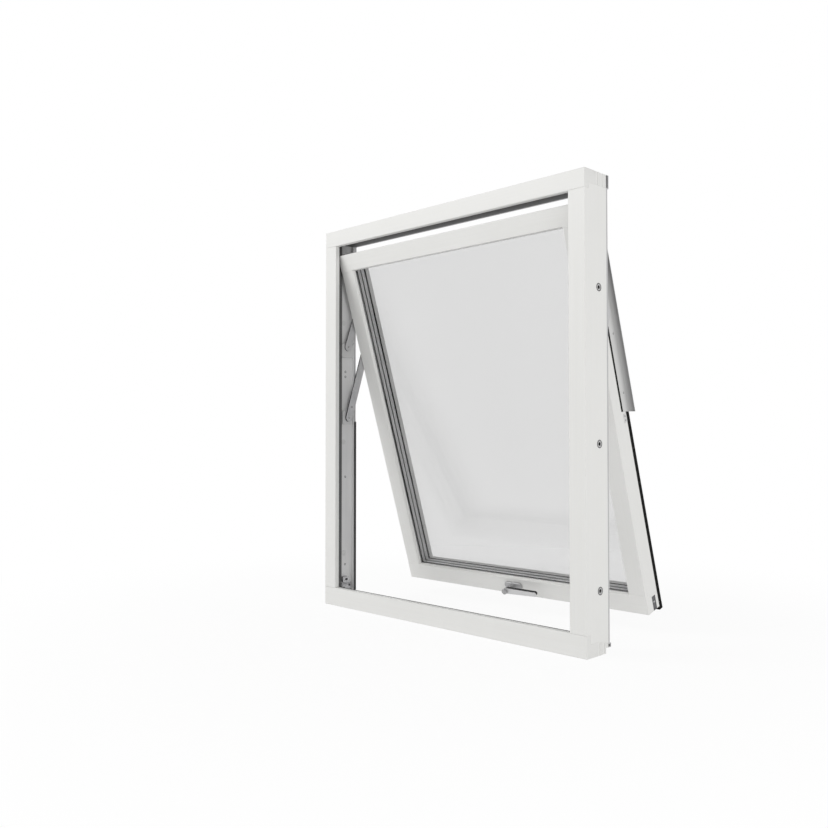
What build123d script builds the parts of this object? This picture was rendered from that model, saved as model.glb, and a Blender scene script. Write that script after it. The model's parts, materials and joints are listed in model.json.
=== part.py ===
from build123d import *
from math import cos, pi, radians, sin, tan
import os

# Top-guided pivot window. The sash hangs on two arms and two top shoes: the shoes slide down
# the jambs while the arms carry the sash out, so it tilts about a point that moves with it.
# Millimetres, +Z up, +Y to the outside, +X to the right as seen from the room.
# Lengths along Y are counted from the room face of the frame.

# Frame
frame_width = 980.0
frame_height = 1180.0
timber_depth = 94.0
cladding_depth = 11.0
head_face = 49.0
jamb_face = 49.0
sill_face = 56.0
lip_depth = 16.0
jamb_wall = 17.0
head_rebate = 15.0
sill_rebate = 22.0
sill_ledge = 28.0
sill_fall = 10.0
sill_overhang = 10.0
sill_undercut = 14.0
tenon_thickness = 8.0
tenon_depth_shares = (0.53, 0.745)
tenon_set_back = 1.5
timber_arris = 2.5
overrun = 5.0

# Frame fixings through the jambs
fixing_height_shares = (0.132, 0.434, 0.759)
fixing_depth_share = 0.628
sleeve_radius = 8.0
sleeve_bore = 5.2
sleeve_access = 8.6

# Frame seal
seal_lip_set_back = 2.0
seal_thickness = 2.2
seal_leg = 14.0
seal_gap = 0.5
head_seal = 1.5

# Guide channel on each jamb
channel_depth = 11.0
channel_wall = 2.0
channel_width = 52.0

# Cladding
sheet = 2.0
cladding_corner = 8.0
cover_drop = 24.0
cover_joint = 3.0
cover_clearance = 0.5
cover_width = 14.0
cover_bend = 11.0
cover_flange = 26.5
cover_kerf = 5.0
cover_kerf_depth = 8.0
cover_slope = 16.0
cover_foot = 6.0
lower_cladding_drop = 12.0

# Sash
sash_side_gap = 20.0
sash_room_face = 20.0
sash_top_gap = 3.0
sash_bottom_gap = 4.0
rail_face = 55.0
sash_set_back = 1.0
sash_edge_depth = 14.0
glazing_lip = 11.0
bevel_depth = 7.0
bevel_width = 4.0
glass_cover = 10.0
glass_clearance = 2.0

# Glazing
pane = 4.0
glass_depth_share = 0.468
glazing_seal = 1.5
glazing_seal_width = 8.0
spacer_width = 6.0
setting_block_length = 80.0
setting_block_place_share = 0.36

# Sash cladding and edge seal
edge_seal = 2.0
seal_notch = 10.0
drip_drop = 4.0
drip_width = 3.0

# Linkage
shoe_drop = 12.0
open_angle = 17.4
link_reach = 153.0
link_lean = 2.0
running_gap = 0.6
arm_width = 26.0
arm_thickness = 4.0
link_width = 26.0
link_thickness = 3.0
stud_radius = 4.0
collar_radius = 7.0
running_fit = 0.05
shoe_side_clearance = 0.4
shoe_floor_clearance = 0.3
shoe_below = 40.0
shoe_above = 10.0
brake_below = 34.0
shoe_corner = 4.0
pivot_block_height = 44.0
pivot_block_width = 40.0
pivot_boss_radius = 9.0
sash_plate = 2.5
sash_plate_width = 22.0
sash_plate_end = 10.0

# Cover brackets
bracket_height = 24.0
bracket_width = 15.0
bracket_joint = 3.0

# Lock in the bottom rail
handle_height = 30.0
lock_axis_share = 0.644
groove_width = 18.0
groove_height = 40.5
faceplate = 2.5
faceplate_clearance = 0.2
pinion_radius = 5.5
pinion_teeth = 10
tooth_addendum = 1.0
tooth_dedendum = 1.25
tooth_share = 0.37
tooth_flank = 20.0
rack_back = 3.4
rack_teeth = 7
bolt_width = 8.0
bolt_set_back = 0.5
bolt_inner_end = 14.0
case_half_length = 34.0
case_wall = 0.8
case_clearance = 0.3
spindle = 5.0
spindle_fit = 0.1
lock_throw = 90.0
keeper_clearance = 1.0
keeper_wall = 5.0
keeper_front_gap = 2.0
keeper_floor = 2.0

# Handle
rose_width = 64.0
rose_height = 21.0
rose_depth = 8.0
rose_arris = 2.0
neck_radius = 7.0
neck_bore_depth = 12.0
lever_gap = 34.0
lever_length = 116.0
lever_hub_radius = 8.5
lever_tip_radius = 7.0
lever_depth = 11.0
lever_arris = 2.0

# Places that follow from the sizes above
half_width = frame_width / 2
lip_x = half_width - jamb_face
rebate_x = half_width - jamb_wall
head_lip_z = frame_height - head_face
head_rebate_z = head_lip_z + head_rebate
sill_ledge_z = sill_face - sill_rebate
sill_nose_z = sill_ledge_z - sill_fall
frame_depth = timber_depth + cladding_depth
sill_seat_depth = timber_depth - sill_overhang
fixing_depth = fixing_depth_share * timber_depth
channel_start = timber_depth - channel_width
channel_front = rebate_x - channel_depth
channel_floor = rebate_x - channel_wall
track_y = (channel_start + timber_depth) / 2

sash_half = rebate_x - sash_side_gap
sash_top = head_rebate_z - sash_top_gap
sash_bottom = sill_ledge_z + sash_bottom_gap
sash_out_y = timber_depth - sash_set_back
sash_timber_y = sash_out_y - sash_edge_depth
sight_x = sash_half - rail_face
sight_low = sash_bottom + rail_face
sight_high = sash_top - rail_face
glass_y = sash_room_face + glazing_lip + glazing_seal
glass_depth = glass_depth_share * timber_depth
glass_out_y = glass_y + glass_depth
cavity = (glass_depth - 3 * pane) / 2
setting_block_width = glass_depth - 2 * pane

pivot_z = frame_height / 2
shoe_z = sash_top - shoe_drop
arm_length = (shoe_z - pivot_z) / 2
shoe_open_z = pivot_z + 2 * arm_length * cos(radians(open_angle))
brake_open_z = shoe_open_z - 2 * link_reach * cos(radians(open_angle + link_lean))
arm_stud_z = shoe_z - arm_length
link_stud_y = track_y + link_reach * sin(radians(link_lean))
link_stud_z = shoe_z - link_reach * cos(radians(link_lean))

arm_near = sash_half + running_gap
arm_far = arm_near + arm_thickness
link_near = arm_far + running_gap
link_far = link_near + link_thickness
shoe_near = channel_front + cover_clearance
shoe_far = channel_floor - shoe_floor_clearance

cover_x = sash_half - sheet + cover_width
lock_axis_depth = lock_axis_share * (sash_timber_y - sash_room_face)
lock_y = sash_room_face + lock_axis_depth
lock_z = sash_bottom + handle_height


# Plain shapes

def block(x0, x1, y0, y1, z0, z1):
    """A box between two opposite corners."""
    low_corner = (Align.MIN, Align.MIN, Align.MIN)
    return Pos(x0, y0, z0) * Box(x1 - x0, y1 - y0, z1 - z0, align=low_corner)


def bar_along_x(outline, x0, x1):
    """A section drawn in Y and Z, run along X."""
    section = Plane.YZ * make_face(Polyline(*outline, close=True))
    return Pos(x0, 0, 0) * extrude(section, x1 - x0)


def bar_along_z(outline, z0, z1):
    """A section drawn in X and Y, run along Z."""
    section = make_face(Polyline(*outline, close=True))
    return Pos(0, 0, z0) * extrude(section, z1 - z0)


def rod(radius, x0, x1, y, z):
    """A round rod along X."""
    on_end = (Align.CENTER, Align.CENTER, Align.MIN)
    return Pos(x0, y, z) * Rot(0, 90, 0) * Cylinder(radius, x1 - x0, align=on_end)


def ring(outer, inner, y0, y1):
    """A flat rectangular ring that faces the room. Each size is half width, bottom, top."""
    solid = block(-outer[0], outer[0], y0, y1, outer[1], outer[2])
    return solid - block(-inner[0], inner[0], y0 - overrun, y1 + overrun, inner[1], inner[2])


def inset(size, amount):
    """A rectangle of half width, bottom and top, taken in all round."""
    return (size[0] - amount, size[1] + amount, size[2] - amount)


def soften(solid, axis, radius, places):
    """Rounds the long edges along an axis whose middles lie at the given places."""
    edges = []
    for edge in solid.edges().filter_by(axis):
        middle = edge.center()
        here = (middle.Y, middle.Z) if axis == Axis.X else (middle.X, middle.Y)
        for place in places:
            if abs(here[0] - place[0]) + abs(here[1] - place[1]) < radius / 10:
                edges.append(edge)
    return fillet(edges, radius)


def link_bar(length, width, x0, x1):
    """A flat bar with round ends, from the origin up along Z."""
    outline = Plane.YZ * Pos(0, length / 2) * Rot(0, 0, 90) * SlotCenterToCenter(length, width)
    return Pos(x0, 0, 0) * extrude(outline, x1 - x0)


def group(shapes):
    """Separate solids that share one node."""
    return Compound([solid for shape in shapes for solid in shape.solids()])


def mirrored(shape):
    """The left-hand twin of a right-hand piece."""
    return mirror(shape, about=Plane.YZ)


# Where the moving pieces stand with the sash tilted open

def with_sash(shape):
    """Carries a piece of the closed sash to the open place."""
    opened = Pos(0, track_y, shoe_open_z) * Rot(open_angle, 0, 0)
    return opened * Pos(0, -track_y, -shoe_z) * shape


def with_arm(shape):
    """Swings an arm, drawn upright from the origin, out about its fixed pivot."""
    return Pos(0, track_y, pivot_z) * Rot(-open_angle, 0, 0) * shape


def with_link(shape):
    """Leans a link, drawn upright from the origin, out from its brake shoe."""
    return Pos(0, track_y, brake_open_z) * Rot(-open_angle - link_lean, 0, 0) * shape


# Frame timbers. Head and sill run the full width, and the jambs are tenoned into them.

def tenon_slots(z0, z1):
    """The open slots at both ends of the head or sill that take the jamb tenons."""
    slots = []
    for share in tenon_depth_shares:
        y = share * timber_depth
        for side in (-1, 1):
            inner, outer = sorted((side * rebate_x, side * (half_width + overrun)))
            slots.append(block(inner, outer, y, y + tenon_thickness, z0 - overrun, z1 + overrun))
    return slots


def head_section():
    return [
        (0, head_lip_z),
        (lip_depth, head_lip_z),
        (lip_depth, head_rebate_z),
        (timber_depth, head_rebate_z),
        (timber_depth, frame_height),
        (0, frame_height),
    ]


def head_blank():
    bar = bar_along_x(head_section(), -half_width, half_width)
    return bar - tenon_slots(head_lip_z, frame_height)


def sill_section():
    return [
        (0, 0),
        (sill_seat_depth, 0),
        (sill_seat_depth, sill_undercut),
        (timber_depth, sill_undercut),
        (timber_depth, sill_nose_z),
        (lip_depth + sill_ledge, sill_ledge_z),
        (lip_depth, sill_ledge_z),
        (lip_depth, sill_face),
        (0, sill_face),
    ]


def sill_blank():
    bar = bar_along_x(sill_section(), -half_width, half_width)
    return bar - tenon_slots(0, sill_face)


def fixing_places():
    return [share * frame_height for share in fixing_height_shares]


def jamb_blank():
    outline = [
        (lip_x, 0),
        (half_width, 0),
        (half_width, timber_depth),
        (rebate_x, timber_depth),
        (rebate_x, lip_depth),
        (lip_x, lip_depth),
    ]
    jamb = bar_along_z(outline, 0, frame_height) - head_blank() - sill_blank()
    jamb -= block(lip_x, half_width, sill_seat_depth, timber_depth, 0, sill_undercut)
    for section in (head_section(), sill_section()):
        jamb -= bar_along_x(section, half_width - tenon_set_back, half_width + overrun)
    holes = [
        rod(sleeve_radius, rebate_x - overrun, half_width + overrun, fixing_depth, z)
        for z in fixing_places()
    ]
    return jamb - holes


def frame_timbers():
    head = soften(head_blank(), Axis.X, timber_arris, [(0, head_lip_z), (0, frame_height)])
    sill = soften(sill_blank(), Axis.X, timber_arris, [(0, sill_face), (0, 0)])
    jamb = soften(jamb_blank(), Axis.Z, timber_arris, [(lip_x, 0), (lip_x, lip_depth)])
    return {"head": head, "sill": sill, "right_jamb": jamb, "left_jamb": mirrored(jamb)}


def fixing_sleeves():
    sleeves = []
    for z in fixing_places():
        sleeve = rod(sleeve_radius, rebate_x, half_width, fixing_depth, z)
        sleeve -= rod(sleeve_bore, rebate_x - overrun, half_width + overrun, fixing_depth, z)
        sleeves += [sleeve, mirrored(sleeve)]
    return {"fixing_sleeves": group(sleeves)}


# Seal behind the lips, with a leg along each jamb up to the guide channel and a strip under the head

def frame_seal():
    outer = (rebate_x, sill_ledge_z, head_rebate_z)
    inner = (lip_x + seal_lip_set_back, sill_face - seal_lip_set_back, head_lip_z + seal_lip_set_back)
    seal = ring(outer, inner, lip_depth, lip_depth + seal_thickness)
    leg = block(
        rebate_x - seal_leg,
        rebate_x,
        lip_depth,
        channel_start - seal_gap,
        sill_ledge_z,
        head_rebate_z,
    )
    top = block(-rebate_x, rebate_x, lip_depth, timber_depth, head_rebate_z - head_seal, head_rebate_z)
    top -= [channel_space(), mirrored(channel_space())]
    return {"frame_seal": seal + leg + mirrored(leg) + top}


def channel_space():
    """The room that a guide channel takes up at the head."""
    return block(channel_front - seal_gap, rebate_x + overrun, channel_start - seal_gap, timber_depth + overrun,
                 sill_ledge_z, head_rebate_z + overrun)


# Guide channels, pivot blocks and keepers on the jambs

def guide_channels():
    outline = [
        (channel_front, channel_start),
        (rebate_x, channel_start),
        (rebate_x, timber_depth),
        (channel_front, timber_depth),
        (channel_front, timber_depth - channel_wall),
        (channel_floor, timber_depth - channel_wall),
        (channel_floor, channel_start + channel_wall),
        (channel_front, channel_start + channel_wall),
    ]
    channel = bar_along_z(outline, sill_ledge_z, head_rebate_z)
    channel -= [
        rod(sleeve_access, channel_floor - overrun, rebate_x + overrun, fixing_depth, z)
        for z in fixing_places()
    ]
    return {"right_guide_channel": channel, "left_guide_channel": mirrored(channel)}


def pivot_blocks():
    half_block = pivot_block_width / 2
    low = pivot_z - pivot_block_height / 2
    base = block(channel_front, channel_floor, track_y - half_block, track_y + half_block,
                 low, low + pivot_block_height)
    base = chamfer(base.edges().filter_by(Axis.X), shoe_corner)
    boss = rod(pivot_boss_radius, arm_far + running_gap / 2, channel_front, track_y, pivot_z)
    pin = rod(stud_radius, arm_near, channel_front, track_y, pivot_z)
    seat = base + boss + pin
    return {"right_pivot_block": seat, "left_pivot_block": mirrored(seat)}


def keeper(z_middle, bolt_height):
    """A block in the foot of a channel, with a pocket for the bolt."""
    half_pocket_y = bolt_width / 2 + keeper_clearance
    half_pocket_z = bolt_height / 2 + keeper_clearance
    front = sash_half + keeper_front_gap
    floor = channel_floor - keeper_floor
    inner_y = channel_start + channel_wall
    solid = block(front, channel_floor, inner_y, lock_y + half_pocket_y + keeper_wall,
                  z_middle - half_pocket_z - keeper_wall, z_middle + half_pocket_z + keeper_wall)
    pocket = block(front - overrun, floor, lock_y - half_pocket_y, lock_y + half_pocket_y,
                   z_middle - half_pocket_z, z_middle + half_pocket_z)
    return solid - pocket


def keepers():
    height = rack_back + tooth_addendum
    offset = pinion_radius - tooth_addendum + height / 2
    right = keeper(lock_z - offset, height)
    left = mirrored(keeper(lock_z + offset, height))
    return {"right_keeper": right, "left_keeper": left}


# Aluminium cladding on the outer edge of the frame

def folded_strip(inner_x, outer_x, inner_y, outer_y, z0, z1):
    """A folded strip for the right side: two legs, each from its own depth, and a round outer corner."""
    outline = [
        (inner_x, inner_y),
        (inner_x + sheet, inner_y),
        (inner_x + sheet, frame_depth - sheet),
        (outer_x - sheet, frame_depth - sheet),
        (outer_x - sheet, outer_y),
        (outer_x, outer_y),
        (outer_x, frame_depth),
        (inner_x, frame_depth),
    ]
    strip = bar_along_z(outline, z0, z1)
    inner_corner = [(outer_x - sheet, frame_depth - sheet)]
    strip = soften(strip, Axis.Z, cladding_corner - sheet, inner_corner)
    return soften(strip, Axis.Z, cladding_corner, [(outer_x, frame_depth)])


def frame_cladding():
    head_outline = [
        (timber_depth, head_rebate_z),
        (frame_depth, head_rebate_z),
        (frame_depth, frame_height),
        (timber_depth, frame_height),
        (timber_depth, frame_height - sheet),
        (frame_depth - sheet, frame_height - sheet),
        (frame_depth - sheet, head_rebate_z + sheet),
        (timber_depth, head_rebate_z + sheet),
    ]
    sill_outline = [
        (timber_depth, sill_undercut),
        (frame_depth, sill_undercut),
        (frame_depth, sill_nose_z),
        (timber_depth, sill_nose_z),
        (timber_depth, sill_nose_z - sheet),
        (frame_depth - sheet, sill_nose_z - sheet),
        (frame_depth - sheet, sill_undercut + sheet),
        (timber_depth, sill_undercut + sheet),
    ]
    lower_top = pivot_z - lower_cladding_drop
    lower = folded_strip(channel_front, half_width, timber_depth, timber_depth, sill_nose_z, lower_top)
    corner_low = shoe_z - cover_drop + cover_joint
    corner = folded_strip(channel_front, half_width, timber_depth, timber_depth, corner_low, head_rebate_z)
    strip_x = cover_x + cover_clearance
    corner += folded_strip(strip_x, half_width, timber_depth, timber_depth, lower_top, corner_low)
    return {
        "head_cladding": bar_along_x(head_outline, -half_width, half_width),
        "sill_cladding": bar_along_x(sill_outline, -half_width, half_width),
        "right_lower_cladding": lower,
        "left_lower_cladding": mirrored(lower),
        "right_corner_cladding": corner,
        "left_corner_cladding": mirrored(corner),
    }


# Sash timbers. The rails run the full width, and the stiles are coped between them.

def sash_rail(low, high, inward):
    """A rail between two heights. inward is 1 where the glass lies above it, and -1 below."""
    sight = high if inward > 0 else low
    outer = low if inward > 0 else high
    glass_seat = sight - inward * (glass_cover + glass_clearance)
    rebate_y = sash_room_face + glazing_lip
    outline = [
        (sash_room_face, outer),
        (sash_timber_y, outer),
        (sash_timber_y, glass_seat),
        (rebate_y, glass_seat),
        (rebate_y, sight),
        (sash_room_face, sight),
    ]
    return bar_along_x(outline, -sash_half, sash_half)


def sight_bevel():
    """The splayed edge of the timbers round the glass, cut as one tapered block."""
    room = Plane.XZ.offset(-sash_room_face)
    inner = Plane.XZ.offset(-sash_room_face - bevel_depth)
    middle = (sight_low + sight_high) / 2
    height = sight_high - sight_low
    wide = room * Pos(0, middle) * Rectangle(2 * (sight_x + bevel_width), height + 2 * bevel_width)
    narrow = inner * Pos(0, middle) * Rectangle(2 * sight_x, height)
    return loft([wide, narrow])


def sash_plate_low():
    return arm_stud_z - collar_radius - sash_plate_end


def sash_plate_high():
    return shoe_z + collar_radius


def plate_seat():
    """The recess in the sash's edge for the steel plate."""
    return block(sash_half - sash_plate, sash_half + overrun, track_y - sash_plate_width / 2,
                 track_y + sash_plate_width / 2, sash_plate_low(), sash_plate_high())


def cover_seat(reach):
    """The side leg of a cover where it lies on the sash, up to a given distance out from its edge."""
    x0 = sash_half - sheet
    low = cover_low()
    wide = block(x0, x0 + reach, sash_out_y - cover_flange, sash_timber_y, low - overrun,
                 sash_plate_low() - cover_joint)
    narrow = block(x0, x0 + reach, sash_timber_y, sash_out_y, low - cover_flange, shoe_z - cover_drop)
    return wide + narrow - cover_foot_cut()


def cover_kerf_cut():
    """The saw kerf in the stile along the room side of a cover's leg."""
    y1 = sash_out_y - cover_flange
    return block(sash_half - cover_kerf_depth, sash_half + overrun, y1 - cover_kerf, y1, cover_low(),
                 sash_plate_low() - cover_joint)


def cover_low():
    return pivot_z + cover_foot


def cover_foot_cut():
    """The sloping cut at a cover's lower end, which falls to the outside."""
    y0 = sash_out_y - cover_flange
    y1 = frame_depth + overrun
    fall = (y1 - y0) * tan(radians(cover_slope))
    low = cover_low() - cover_flange - overrun
    outline = [(y0, cover_low()), (y1, cover_low() - fall), (y1, low), (y0, low)]
    return bar_along_x(outline, 0, half_width)


def bracket_seat(reach):
    """A small plate on the stile under a cover's lower end."""
    x0 = sash_half - sheet
    y1 = sash_timber_y
    drop = bracket_width * tan(radians(cover_slope))
    z1 = cover_low() - drop - bracket_joint
    return block(x0, x0 + reach, y1 - bracket_width, y1, z1 - bracket_height, z1)


def lock_groove():
    return block(-sash_half - overrun, sash_half + overrun, lock_y - groove_width / 2,
                 lock_y + groove_width / 2, sash_bottom - overrun, sash_bottom + groove_height)


def sash_timbers():
    top = sash_rail(sight_high, sash_top, -1)
    bottom = sash_rail(sash_bottom, sight_low, 1)
    rebate_x_sash = sight_x + glass_cover + glass_clearance
    outline = [
        (sight_x, sash_room_face),
        (sash_half, sash_room_face),
        (sash_half, sash_timber_y),
        (rebate_x_sash, sash_timber_y),
        (rebate_x_sash, sash_room_face + glazing_lip),
        (sight_x, sash_room_face + glazing_lip),
    ]
    stile = bar_along_z(outline, sash_bottom, sash_top) - top - bottom - plate_seat() - sight_bevel()
    stile = stile - cover_seat(overrun) - cover_kerf_cut() - bracket_seat(overrun)
    top = top - plate_seat() - mirrored(plate_seat()) - sight_bevel()
    room = Plane.XZ.offset(-sash_room_face + overrun) * Pos(0, lock_z)
    spindle_hole = extrude(room * Circle(spindle), -lock_axis_depth - overrun)
    bottom = bottom - lock_groove() - sight_bevel() - spindle_hole
    stile = soften(stile, Axis.Z, timber_arris, [(sash_half, sash_room_face)])
    top = soften(top, Axis.X, timber_arris, [(sash_room_face, sash_top)])
    bottom = soften(bottom, Axis.X, timber_arris, [(sash_room_face, sash_bottom)])
    return {
        "sash_top_rail": top,
        "sash_bottom_rail": bottom,
        "right_stile": stile,
        "left_stile": mirrored(stile),
    }


# Triple glazing in the sash

def glass_size():
    return (sight_x + glass_cover, sight_low - glass_cover, sight_high + glass_cover)


def glazing():
    size = glass_size()
    parts = {}
    pane_names = ("inner_pane", "middle_pane", "outer_pane")
    for index, name in enumerate(pane_names):
        y = glass_y + index * (pane + cavity)
        parts[name] = block(-size[0], size[0], y, y + pane, size[1], size[2])
    sealant_width = glass_cover - spacer_width
    spacer_size = inset(size, sealant_width)
    spacer_names = ("inner", "outer")
    sealant = []
    for index, name in enumerate(spacer_names):
        y = glass_y + pane + index * (pane + cavity)
        parts[name + "_spacer"] = ring(spacer_size, inset(size, glass_cover), y, y + cavity)
        sealant.append(ring(size, spacer_size, y, y + cavity))
    parts["edge_sealant"] = group(sealant)
    seal_inner = inset(size, glazing_seal_width)
    parts["inner_glazing_seal"] = ring(size, seal_inner, glass_y - glazing_seal, glass_y)
    parts["outer_glazing_seal"] = ring(size, seal_inner, glass_out_y, glass_out_y + glazing_seal)
    blocks = []
    block_y = glass_y + (glass_depth - setting_block_width) / 2
    for side in (-1, 1):
        x = side * setting_block_place_share * 2 * sight_x - setting_block_length / 2
        for z in (size[1] - glass_clearance, size[2]):
            blocks.append(block(x, x + setting_block_length, block_y, block_y + setting_block_width,
                                z, z + glass_clearance))
    parts["setting_blocks"] = group(blocks)
    return parts


# Mitred cladding round the outside of the sash, with a black seal on its edge

def sash_size():
    return (sash_half, sash_bottom, sash_top)


def sash_cladding():
    outer = inset(sash_size(), edge_seal)
    inner = inset(glass_size(), glass_cover - sheet)
    bead_y = glass_out_y + glazing_seal
    body = ring(outer, inner, bead_y, sash_out_y)
    hollow = ring(inset(outer, sheet), inset(inner, -sheet), bead_y - overrun, sash_out_y - sheet)
    timber = ring(sash_size(), inset(glass_size(), -glass_clearance), sash_room_face, sash_timber_y)
    body = body - hollow - timber
    drip = block(-outer[0], outer[0], sash_out_y - drip_width, sash_out_y,
                 sash_bottom - drip_drop, outer[1])
    corner = sash_half + overrun
    cut_depth = sash_out_y + overrun
    parts = {}
    face = Plane.XZ * make_face(Polyline(*mitre_outline(top=True), close=True))
    top_prism = extrude(face, -cut_depth)
    face = Plane.XZ * make_face(Polyline(*mitre_outline(top=False), close=True))
    bottom_prism = extrude(face, -cut_depth)
    right_half = block(0, corner, 0, cut_depth, sash_bottom - overrun, sash_top + overrun)
    right = (body & right_half) - top_prism - bottom_prism
    parts["sash_top_cladding"] = body & top_prism
    parts["sash_bottom_cladding"] = (body & bottom_prism) + drip
    parts["right_sash_cladding"] = right
    parts["left_sash_cladding"] = mirrored(right)
    seal = ring(sash_size(), outer, sash_timber_y, sash_out_y) - drip
    notch = block(outer[0], sash_half + overrun, sash_timber_y - overrun, sash_out_y - edge_seal, outer[1],
                  outer[1] + seal_notch)
    for cut in (cover_seat(overrun), notch):
        seal = seal - cut - mirrored(cut)
    parts["sash_edge_seal"] = group([seal])
    return parts


def mitre_outline(top):
    """The half of the cladding ring between two 45 degree cuts at the top or the bottom."""
    edge = sash_top if top else sash_bottom
    inward = -1 if top else 1
    depth = 2 * rail_face
    return [
        (-sash_half - overrun, edge - inward * overrun),
        (sash_half + overrun, edge - inward * overrun),
        (sash_half - depth, edge + inward * depth),
        (-sash_half + depth, edge + inward * depth),
    ]


# Covers for the upper half of the jambs. They are let into the stiles and swing out with the sash.

def covers():
    inner_x = sash_half - sheet
    outline = [
        (inner_x, sash_timber_y),
        (sash_half, sash_timber_y),
        (sash_half, frame_depth - sheet),
        (cover_x, frame_depth - sheet),
        (cover_x, frame_depth),
        (inner_x, frame_depth),
    ]
    cover = bar_along_z(outline, cover_low() - cover_flange, shoe_z - cover_drop)
    cover = soften(cover, Axis.Z, cover_bend, [(sash_half, frame_depth - sheet)])
    cover = soften(cover, Axis.Z, cover_bend + sheet, [(inner_x, frame_depth)])
    cover = cover - cover_foot_cut() + cover_seat(sheet)
    bracket = bracket_seat(sheet)
    return {
        "right_cover": cover,
        "left_cover": mirrored(cover),
        "cover_brackets": group([bracket, mirrored(bracket)]),
    }


# Steel plate on each edge of the sash, with riveted studs for arm, link and shoe

def sash_plates():
    plate = block(sash_half - sash_plate, sash_half, track_y - sash_plate_width / 2,
                  track_y + sash_plate_width / 2, sash_plate_low(), sash_plate_high())
    plate += rod(stud_radius, sash_half, arm_far, track_y, arm_stud_z)
    plate += rod(stud_radius, sash_half, link_far, link_stud_y, link_stud_z)
    plate += rod(collar_radius, sash_half, link_near - running_gap / 2, link_stud_y, link_stud_z)
    plate += rod(stud_radius, sash_half, shoe_far - shoe_floor_clearance, track_y, shoe_z)
    plate += rod(collar_radius, sash_half, shoe_near - shoe_floor_clearance, track_y, shoe_z)
    return {"right_sash_plate": plate, "left_sash_plate": mirrored(plate)}


# Main arms, brake links and the shoes in the guide channels

def linkage():
    eye = stud_radius + running_fit
    arm = link_bar(arm_length, arm_width, arm_near, arm_far)
    arm -= [rod(eye, arm_near - overrun, arm_far + overrun, 0, z) for z in (0, arm_length)]
    link = link_bar(link_reach, link_width, link_near, link_far)
    link -= [rod(eye, link_near - overrun, link_far + overrun, 0, z) for z in (0, link_reach)]
    shoe_y0 = channel_start + channel_wall + shoe_side_clearance
    shoe_y1 = timber_depth - channel_wall - shoe_side_clearance
    top_shoe = block(shoe_near, shoe_far, shoe_y0, shoe_y1, shoe_open_z - shoe_below,
                     shoe_open_z + shoe_above)
    top_shoe = chamfer(top_shoe.edges().filter_by(Axis.X), shoe_corner)
    top_shoe -= rod(eye, shoe_near - overrun, shoe_far + overrun, track_y, shoe_open_z)
    brake_shoe = block(shoe_near, shoe_far, shoe_y0, shoe_y1, brake_open_z - brake_below,
                       brake_open_z + shoe_above)
    brake_shoe = chamfer(brake_shoe.edges().filter_by(Axis.X), shoe_corner)
    brake_shoe += rod(stud_radius, link_near, shoe_near, track_y, brake_open_z)
    brake_shoe += rod(collar_radius, link_far + running_gap / 2, shoe_near, track_y, brake_open_z)
    right = {
        "main_arm": with_arm(arm),
        "brake_link": with_link(link),
        "top_shoe": top_shoe,
        "brake_shoe": brake_shoe,
    }
    parts = {}
    for name, shape in right.items():
        parts["right_" + name] = shape
        parts["left_" + name] = mirrored(shape)
    return parts


# Lock in the groove under the bottom rail: a pinion between two rack bolts

def tooth_pitch():
    return 2 * pi * pinion_radius / pinion_teeth


def pinion():
    """A spur pinion about Y, turned so that a tooth space faces each rack's middle tooth."""
    half_tooth = tooth_share * tooth_pitch() / 2
    slope = tan(radians(tooth_flank))
    root = pinion_radius - tooth_dedendum
    tip = pinion_radius + tooth_addendum
    outline = [
        (-half_tooth - slope * tooth_dedendum, 0),
        (-half_tooth - slope * tooth_dedendum, root),
        (-half_tooth + slope * tooth_addendum, tip),
        (half_tooth - slope * tooth_addendum, tip),
        (half_tooth + slope * tooth_dedendum, root),
        (half_tooth + slope * tooth_dedendum, 0),
    ]
    tooth = make_face(Polyline(*outline, close=True))
    gear = Circle(root)
    for index in range(pinion_teeth):
        gear += Rot(0, 0, 360 * (index + 0.5) / pinion_teeth) * tooth
    gear -= Rectangle(spindle, spindle)
    start = lock_y - bolt_width / 2
    return Plane((0, start, lock_z), x_dir=(1, 0, 0), z_dir=(0, 1, 0)) * extrude(gear, bolt_width)


def rack_bolt():
    """The right-hand bolt, below the pinion, with its teeth towards it."""
    pitch_z = lock_z - pinion_radius
    tooth_z = pitch_z + tooth_addendum
    root_z = pitch_z - tooth_dedendum
    y0 = lock_y - bolt_width / 2
    y1 = lock_y + bolt_width / 2
    back_z = pitch_z - rack_back
    teeth_end = (rack_teeth / 2) * tooth_pitch()
    bolt = block(-teeth_end, sash_half - bolt_set_back, y0, y1, back_z, root_z)
    bolt += block(teeth_end + bolt_inner_end, sash_half - bolt_set_back, y0, y1, back_z, tooth_z)
    half_tooth = tooth_share * tooth_pitch() / 2
    slope = tan(radians(tooth_flank))
    outline = [
        (-half_tooth - slope * tooth_dedendum, root_z),
        (half_tooth + slope * tooth_dedendum, root_z),
        (half_tooth - slope * tooth_addendum, tooth_z),
        (-half_tooth + slope * tooth_addendum, tooth_z),
    ]
    face = Plane.XZ.offset(-y0) * make_face(Polyline(*outline, close=True))
    tooth = extrude(face, -bolt_width)
    first = -(rack_teeth - 1) / 2
    for index in range(rack_teeth):
        bolt += Pos((first + index) * tooth_pitch(), 0, 0) * tooth
    return bolt


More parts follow.
